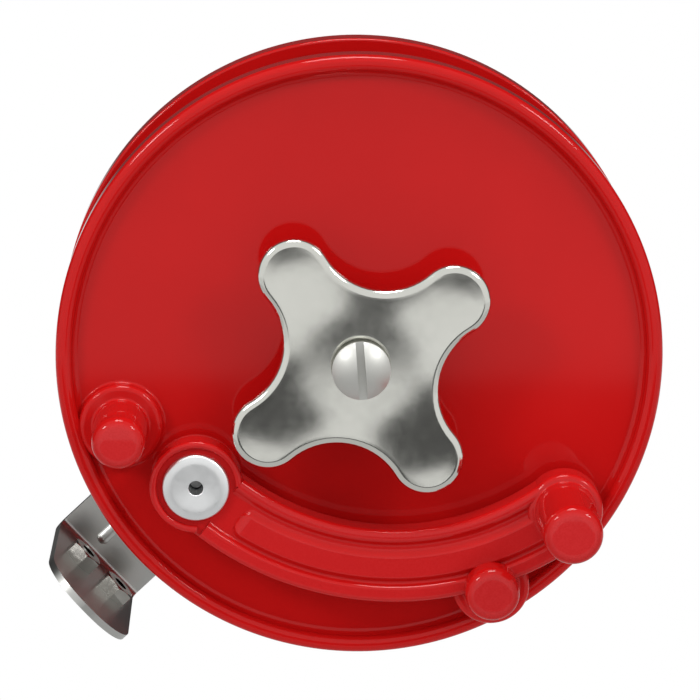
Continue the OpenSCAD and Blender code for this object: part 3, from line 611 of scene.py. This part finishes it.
def makeCrankArm():
    c, k, t = crankArm, crankKnob, crankStub
    pivot = crankPivot["place"]
    perMm = math.degrees(1 / c["curve"])
    end = c["start"] + c["sweep"]

    def angle(along):
        return c["start"] + along * perMm

    root = c["top"] - c["edge"] - c["bandLap"]
    half, floor, low, edge = c["half"], c["floor"], c["low"], c["lowEdge"]
    section = [(-half + edge, low), (half - edge, low), (half, low + edge), (half, root),
               (half - edge, floor), (-half + edge, floor), (-half, root), (-half, low + edge)]
    body = swept("crankArm", section, c["centre"], c["curve"], angle(c["bodyStart"]), end)
    first = c["lobeRadius"] + c["pocketWeb"]
    last = c["sweep"] / perMm - k["bossRadius"] - c["pocketWeb"]
    step = (last - first + c["pocketWeb"]) / c["pockets"]
    inside = half - c["pocketWall"]
    section = [(-inside, low - 1), (inside, low - 1), (inside, c["pocketTop"]), (-inside, c["pocketTop"])]
    tools = []
    for i in range(c["pockets"]):
        begin = first + i * step
        tools.append(swept("pocketTool", section, c["centre"], c["curve"],
                           angle(begin), angle(begin + step - c["pocketWeb"])))
    knob = [a + b for a, b in zip(c["centre"], polar(c["curve"], end))]
    tools.append(cylinderTool("coreTool", k["coreRadius"] + c["lap"], low - 1, floor + 1, knob))
    cutAway(body, tools)
    bands = [
        swept("innerRail", bandSection(*c["innerRail"], 0, c["wideSoft"], root),
              c["centre"], c["curve"], angle(c["railStart"]), end),
        swept("outerRail", bandSection(*c["outerRail"], c["thinSoft"], 0, root),
              c["centre"], c["curve"], angle(c["railStart"]), end),
        swept("middleRib", bandSection(*c["rib"], c["wideSoft"], c["thinSoft"], root),
              c["centre"], c["curve"], angle(c["ribStart"]), end - c["ribEnd"] * perMm,
              sum(c["rib"]) / 2, floor - c["bandLap"], c["ribRound"]),
    ]
    wall, lobe = c["lobeWall"], c["lobeRadius"]
    soft = wall * c["lobeSoft"]
    side, base, crest = wall / 2, floor - c["ringLap"], c["lobeTop"]
    section = ([(-side, base), (side, base)]
               + arc(side - soft, crest - soft, soft, 0, 90, 6)
               + arc(-side + soft, crest - soft, soft, 90, 180, 6))
    run = c["start"] + 90    # the way that the arm leaves the pivot
    bands.append(swept("lobeRing", section, pivot, lobe - side,
                       run + c["lobeGap"], run + 360 - c["lobeGap"]))
    bm = bmesh.new()
    under, foot = floor - c["lap"], low + c["lap"]
    lathe(bm, [(c["boreRadius"], foot), (lobe - edge, foot), (lobe, foot + edge), (lobe, under),
               (c["boreRadius"], under)], pivot)
    lathe(bm, [(k["coreRadius"], foot), (k["bossRadius"] - edge, foot), (k["bossRadius"], foot + edge)]
          + arc(k["bossRadius"] - c["edge"], k["bossTop"] - c["edge"], c["edge"], 0, 90)
          + arc(k["radius"] + k["fillet"], k["bossTop"] + k["fillet"], k["fillet"], 270, 180, 5)
          + tipProfile(k["radius"] - k["taper"], k["tip"], k["tipRadius"])
          + [(0, k["coreTop"]), (k["coreRadius"], k["coreTop"])], knob)
    stub = [a + b for a, b in zip(c["centre"], polar(c["curve"] + t["offset"], c["start"] + t["sweep"]))]
    lathe(bm, [(0, foot), (t["bossRadius"] - edge, foot), (t["bossRadius"], foot + edge)]
          + arc(t["bossRadius"] - c["edge"], t["bossTop"] - c["edge"], c["edge"], 0, 90)
          + arc(t["radius"] + t["fillet"], t["bossTop"] + t["fillet"], t["fillet"], 270, 180, 5)
          + tipProfile(t["radius"] - t["taper"], t["tip"], t["tipRadius"]), stub)
    posts = meshFrom("crankPosts", bm)
    bm = bmesh.new()
    for mesh in [body.data, posts] + [band.data for band in bands]:
        bm.from_mesh(mesh)
    bm.to_mesh(body.data)
    bm.free()
    for band in bands:
        bpy.data.objects.remove(band)
    return body


dress(makeCrankArm(), mouldedRed, "crank", "crank_arm")

crankRivet = {
    "flangeRadius": 7.0, "flangeThickness": 1.7, "edgeShare": 0.45, "shankRadius": 2.4, "seat": 27.0,
    "dish": ((5.5, 0.02), (5.0, 0.0), (4.4, 0.04), (3.6, 0.12), (2.8, 0.21), (2.1, 0.28)),    # radius, drop
    "holeRadius": 1.5, "holeEdge": 0.25, "holeDrop": 0.57,
    "tailRadius": 3.7, "tailTop": 16.6, "tailHeight": 1.5, "tailEdge": 0.6,
}


def makeCrankRivet():
    r = crankRivet
    top = r["seat"] + r["flangeThickness"]
    edge, tailEdge, holeEdge = r["flangeThickness"] * r["edgeShare"], r["tailEdge"], r["holeEdge"]
    low = r["tailTop"] - r["tailHeight"]
    profile = ([(r["holeRadius"], low)]
               + arc(r["tailRadius"] - tailEdge, low + tailEdge, tailEdge, 270, 360)
               + [(r["tailRadius"], r["tailTop"]), (r["shankRadius"], r["tailTop"])]
               + [(r["shankRadius"], r["seat"])]
               + arc(r["flangeRadius"] - edge, r["seat"] + edge, edge, 270, 430, 16)
               + [(x, top - drop) for x, drop in r["dish"]]
               + arc(r["holeRadius"] + holeEdge, top - r["holeDrop"], holeEdge, 80, 180, 5))
    bm = bmesh.new()
    lathe(bm, profile, crankPivot["place"])
    return addObject("crankRivet", meshFrom("crankRivet", bm))


dress(makeCrankRivet(), finishes["drawnAluminium"], "spool", "crank_rivet")
print("crank made")

# Star and its cap screw

dragStar = {
    "lobes": 4, "lobeReach": 23.6, "lobeRadius": 7.6, "valleyReach": 16.5, "firstAngle": 35.5, "bore": 6.1,
    "low": 28.8, "depth": 2.2, "sheet": 1.5,
    "rollWidth": 1.6, "rollDrop": 1.35, "draft": 0.28, "footWidth": 1.2,
    "underside": ((1.3, 0.5), (1.5, 0.25), (1.8, 0.05)),    # inset from the edge, drop below the plate
    "tilt": 0.030, "waveStarts": (9.0, 10.5), "waveRun": 6.0, "curlRings": (22.0, 30.0), "curl": 1.3,
    "dish": 0.021, "dishRings": (9.5, 15.5),                # shallow dish around the hub
    "lobeSteps": 28, "valleySteps": 18, "rollSteps": 14, "plateRings": 14, "underRings": 5,
}


def starOutline(inset):
    d = dragStar
    half = 180 / d["lobes"]
    c = math.cos(math.radians(half))
    reach, lobe, valleyReach = d["lobeReach"], d["lobeRadius"], d["valleyReach"]
    valley = ((reach ** 2 + valleyReach ** 2 - lobe ** 2 - 2 * reach * valleyReach * c)
              / (2 * (reach * c + lobe - valleyReach)))
    away = valleyReach + valley
    touch = math.degrees(math.atan2(away * math.sin(math.radians(half)), away * c - reach))
    points = []
    for i in range(d["lobes"]):
        turn = d["firstAngle"] + i * 2 * half
        points += arc(*polar(reach, turn), lobe - inset, turn - touch, turn + touch, d["lobeSteps"])[:-1]
        points += arc(*polar(away, turn + half), valley + inset, turn + touch + 180,
                      turn + 2 * half - touch + 180, d["valleySteps"])[:-1]
    return points


def makeStar():
    d = dragStar
    top = d["low"] + d["depth"]
    plate = top - d["sheet"]

    # A shallow dish at the hub; further out the plate falls along the lobes,
    # curls up at their ends and rises between them
    def sag(x, y):
        r = math.hypot(x, y)
        wave = math.cos(d["lobes"] * (math.atan2(y, x) - math.radians(d["firstAngle"])))
        betweenLobes, alongLobes = d["waveStarts"]
        past = max(0, r - betweenLobes - (alongLobes - betweenLobes) * (1 + wave) / 2)
        run, (far, end) = d["waveRun"], d["curlRings"]
        fall = d["tilt"] * (min(past, run) ** 2 / (2 * run) + max(0, past - run))
        curl = d["curl"] * d["tilt"] * max(0, r - far) ** 2 / (end - far)
        inner, outer = d["dishRings"]
        fade = max(0, min(r, outer) - inner)
        dish = d["dish"] * (min(r, inner) - d["bore"] + fade - fade ** 2 / (2 * (outer - inner)))
        return (fall - curl) * wave - dish

    def lift(points, h):
        return [(x, y, h - sag(x, y)) for x, y in points]

    def spokes(outline, h, share):
        ring = []
        for x, y in outline:
            r = math.hypot(x, y)
            k = (d["bore"] + (r - d["bore"]) * share) / r
            ring.append((x * k, y * k))
        return lift(ring, h)

    rings = []
    for k in range(d["plateRings"]):
        rings.append(spokes(starOutline(d["rollWidth"]), top, k / d["plateRings"]))
    for k in range(d["rollSteps"] + 1):
        a = math.radians(90 - 90 * k / d["rollSteps"])
        inset = d["rollWidth"] * (1 - math.cos(a))
        rings.append(lift(starOutline(inset), top - d["rollDrop"] * (1 - math.sin(a))))
    for inset in (d["draft"], d["footWidth"]):
        rings.append([(x, y, d["low"]) for x, y in starOutline(inset)])
    for inset, drop in d["underside"]:
        rings.append(lift(starOutline(inset), plate - drop))
    for k in reversed(range(d["underRings"])):
        rings.append(spokes(starOutline(d["rollWidth"]), plate, k / d["underRings"]))
    bm = bmesh.new()
    made = [[bm.verts.new(p) for p in ring] for ring in rings]
    for k, ring in enumerate(made):
        after = made[(k + 1) % len(made)]
        for i in range(len(ring)):
            j = (i + 1) % len(ring)
            bm.faces.new((ring[i], ring[j], after[j], after[i]))
    return addObject("dragStar", meshFrom("dragStar", bm))


dress(makeStar(), finishes["polishedStar"], "star", "drag_star")

capScrew = {"seat": 33.4, "headRadius": 6.05, "headHeight": 3.3, "headEdge": 0.25, "rimShare": 0.3,
            "slotWidth": 1.7, "slotDepth": 2.4, "slotAngle": 4.0, "shankRadius": 2.95, "shankLength": 12.0}


def makeCapScrew():
    c = capScrew
    seat, top = c["seat"], c["seat"] + c["headHeight"]
    low = seat - c["shankLength"]
    dome = c["headHeight"] - c["headHeight"] * c["rimShare"]
    r = (c["headRadius"] ** 2 + dome ** 2) / (2 * dome)
    span = math.degrees(math.asin(c["headRadius"] / r))
    crown = arc(0, top - r, r, 90 - span, 90, 20)
    bm = bmesh.new()
    lathe(bm, [(0, low), (c["shankRadius"], low), (c["shankRadius"], seat),
               (c["headRadius"] - c["headEdge"], seat), (c["headRadius"], seat + c["headEdge"])]
          + crown[:-1] + [(0, top)])
    screw = addObject("capScrew", meshFrom("capScrew", bm))
    half, wide = c["slotWidth"] / 2, c["headRadius"] + 2
    return cutAway(screw, [boxTool("slotTool", (-half, -wide, top - c["slotDepth"]), (half, wide, top + 1),
                                   c["slotAngle"])])


dress(makeCapScrew(), finishes["satinSteel"], "frame", "cap_screw")
print("star and cap screw made")

# Nodes that keep their CAD shape

kept = {
    "drum": drumRed,
    "foot_bracket": finishes["satinStainless"],
    "front_bush": finishes["naturalNylon"],
    "rear_bush": finishes["naturalNylon"],
    "pivot_washer": finishes["naturalNylon"],
    "front_drag_washer": finishes["pressedFibre"],
    "rear_drag_washer": finishes["pressedFibre"],
    "star_nut": finishes["platedNut"],
    "rivet_mandrel": finishes["plainSteel"],
    "backup_washer": finishes["brightSteel"],
    "thrust_washer": finishes["brightSteel"],
    "disc_spring": finishes["brightSteel"],
    "pressure_washer": finishes["brightSteel"],
    "spindle": finishes["brightSteel"],
    "spindle_nut": finishes["brightSteel"],
    "lock_washer": finishes["brightSteel"],
    "foot_nuts": finishes["darkZinc"],
}
for node, finish in kept.items():
    nodes[node].data.materials.clear()
    nodes[node].data.materials.append(finish)
print("CAD nodes finished:", len(kept))

# Studio

studio = {
    "floorDrop": 0.45,          # floor below the axis, in metres
    "floorRadius": 1.2,
    "floorTone": 0.85,
    "floorRoughness": 0.8,
    "floorGlow": 0.6,           # how bright the floor looks in a reflection
    "frontHigh": 0.90,          # radiance of the room in front, above the table line
    "frontLow": 0.08,           # and below it
    "tableLine": -0.1925,       # height of that line, as the z of a direction
    "tableSoft": 0.0015,
    "sideLow": 0.75,            # radiance below the line, away to the sides
    "sideFrom": 0.30,           # how far aside that starts and is full
    "sideFull": 0.42,
    "frontSoft": 0.2,           # how the room in front passes into the room behind
    "behindHigh": 0.05,         # radiance behind the reel, above and below its own line
    "behindLow": 0.90,
    "behindLine": -0.11,
    "behindSoft": 0.05,
}
lamps = {
    "keyLeft": {"place": (-1.2, -1.0, 1.0), "size": 0.42, "power": 8.5},
    "keyRight": {"place": (1.1, -0.9, 1.0), "size": 0.42, "power": 7.5},
    "overhead": {"place": (0.0, -0.25, 1.7), "size": 0.7, "power": 14.0},
}
shot = {
    "aim": (0.0, -20.5, 0.0),                   # middle of the front rim
    "towards": (-0.02315, -0.98234, 0.18567),   # from there to the camera
    "distance": 826.0,
    "slide": (-2.045, 1.753),                   # camera moved left and up in its own plane
    "focalPixels": 3959.0,
    "imagePixels": 700.0,
    "sensor": 36.0,
}


def makeCamera():
    data = bpy.data.cameras.new("camera")
    data.sensor_width = shot["sensor"]
    data.sensor_fit = "HORIZONTAL"
    data.lens = shot["focalPixels"] / shot["imagePixels"] * shot["sensor"]
    data.clip_end = 20
    camera = addObject("camera", data)
    towards = Vector(shot["towards"]).normalized()
    right = Vector((0, 0, 1)).cross(towards).normalized()
    up = towards.cross(right)
    slide = right * shot["slide"][0] + up * shot["slide"][1]
    place = (Vector(shot["aim"]) + towards * shot["distance"] + slide) * mm
    turn = Matrix((right, up, towards)).transposed().to_4x4()
    camera.matrix_world = Matrix.Translation(place) @ turn
    bpy.context.scene.camera = camera


def makeLamps():
    for name, lamp in lamps.items():
        data = bpy.data.lights.new(name, "AREA")
        data.shape = "DISK"
        data.size = lamp["size"]
        data.energy = lamp["power"]
        obj = addObject(name, data)
        place = Vector(lamp["place"])
        obj.matrix_world = Matrix.Translation(place) @ place.to_track_quat("Z", "Y").to_matrix().to_4x4()
        obj.visible_camera = False


def makeWorld():
    world = bpy.data.worlds.new("studio")
    bpy.context.scene.world = world
    world.use_nodes = True
    tree = world.node_tree
    tree.nodes.clear()
    add, link = tree.nodes.new, tree.links.new
    coords, parts = add("ShaderNodeTexCoord"), add("ShaderNodeSeparateXYZ")
    link(coords.outputs["Generated"], parts.inputs["Vector"])

    def step(value, start, end, low, high):
        node = add("ShaderNodeMapRange")
        node.interpolation_type = "SMOOTHSTEP"
        for label, number in (("From Min", start), ("From Max", end)):
            node.inputs[label].default_value = number
        for label, level in (("To Min", low), ("To Max", high)):
            if isinstance(level, float):
                node.inputs[label].default_value = level
            else:
                link(level, node.inputs[label])
        link(value, node.inputs["Value"])
        return node.outputs["Result"]

    line, soft = studio["tableLine"], studio["tableSoft"]
    aside = add("ShaderNodeMath")
    aside.operation = "ABSOLUTE"
    link(parts.outputs["X"], aside.inputs[0])
    low = step(aside.outputs["Value"], studio["sideFrom"], studio["sideFull"],
               studio["frontLow"], studio["sideLow"])
    room = step(parts.outputs["Z"], line - soft, line + soft, low, studio["frontHigh"])
    inFront = step(parts.outputs["Y"], studio["frontSoft"], -studio["frontSoft"], 0.0, 1.0)
    line, soft = studio["behindLine"], studio["behindSoft"]
    back = step(parts.outputs["Z"], line - soft, line + soft, studio["behindLow"], studio["behindHigh"])
    around = add("ShaderNodeMix")
    link(back, around.inputs["A"])
    link(inFront, around.inputs["Factor"])
    link(room, around.inputs["B"])
    seen, rays = add("ShaderNodeMix"), add("ShaderNodeLightPath")
    link(rays.outputs["Is Camera Ray"], seen.inputs["Factor"])
    link(around.outputs["Result"], seen.inputs["A"])
    seen.inputs["B"].default_value = 1.0
    glow, out = add("ShaderNodeBackground"), add("ShaderNodeOutputWorld")
    glow.inputs["Color"].default_value = (1, 1, 1, 1)
    link(seen.outputs["Result"], glow.inputs["Strength"])
    link(glow.outputs["Background"], out.inputs["Surface"])


def makeFloor():
    bm = bmesh.new()
    bmesh.ops.create_circle(bm, cap_ends=True, segments=96, radius=studio["floorRadius"])
    bm.transform(Matrix.Translation((0, 0, -studio["floorDrop"])))
    floor = addObject("floor", meshFrom("floor", bm, turn=False))
    mat, tree, shader = newFinish("paleFloor")[:3]
    shader.inputs["Base Color"].default_value = (*[studio["floorTone"]] * 3, 1)
    shader.inputs["Roughness"].default_value = studio["floorRoughness"]
    rays, glow, mix = (tree.nodes.new(kind) for kind in
                       ("ShaderNodeLightPath", "ShaderNodeEmission", "ShaderNodeMixShader"))
    most, level = tree.nodes.new("ShaderNodeMath"), tree.nodes.new("ShaderNodeMapRange")
    most.operation = "MAXIMUM"
    tree.links.new(rays.outputs["Is Camera Ray"], most.inputs[0])
    tree.links.new(rays.outputs["Is Glossy Ray"], most.inputs[1])
    level.inputs["To Min"].default_value = 1.0
    level.inputs["To Max"].default_value = studio["floorGlow"]
    tree.links.new(rays.outputs["Is Glossy Ray"], level.inputs["Value"])
    tree.links.new(level.outputs["Result"], glow.inputs["Strength"])
    out = next(n for n in tree.nodes if n.type == "OUTPUT_MATERIAL")
    tree.links.new(most.outputs["Value"], mix.inputs["Fac"])
    tree.links.new(shader.outputs["BSDF"], mix.inputs[1])
    tree.links.new(glow.outputs["Emission"], mix.inputs[2])
    tree.links.new(mix.outputs["Shader"], out.inputs["Surface"])
    floor.data.materials.append(mat)


makeCamera()
makeLamps()
makeWorld()
makeFloor()
bpy.context.scene.view_settings.view_transform = "Standard"
print("studio set")
